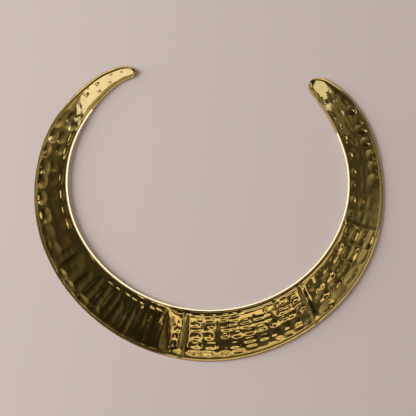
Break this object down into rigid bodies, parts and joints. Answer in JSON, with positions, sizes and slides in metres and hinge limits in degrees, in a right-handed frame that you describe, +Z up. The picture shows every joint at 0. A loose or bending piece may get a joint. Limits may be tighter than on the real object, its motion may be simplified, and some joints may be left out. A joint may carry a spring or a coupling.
{
  "type": "collar necklace",
  "caption": "Rigid open collar necklace of hammered, polished brass sheet: a crescent band, widest at the throat, with a beaded inner edge and plain rounded tips.",
  "frame": {"origin": "on the plane that the collar lies on, under the middle of the outline's bounding box", "axes": "+Z up out of the plane that the collar lies on, towards the worn face; -Y towards the throat, the widest part of the band; +Y towards the gap between the tips; +X to the right seen from above with the gap at the top"},
  "size_m": [0.164, 0.1388, 0.0023],
  "materials": {
    "hammered_brass": "mirror-polished, hammered all over, with slight tarnish and stains in the dents"
  },
  "bodies": {
    "root": {"collar": "hammered_brass"}
  },
  "joints": []
}
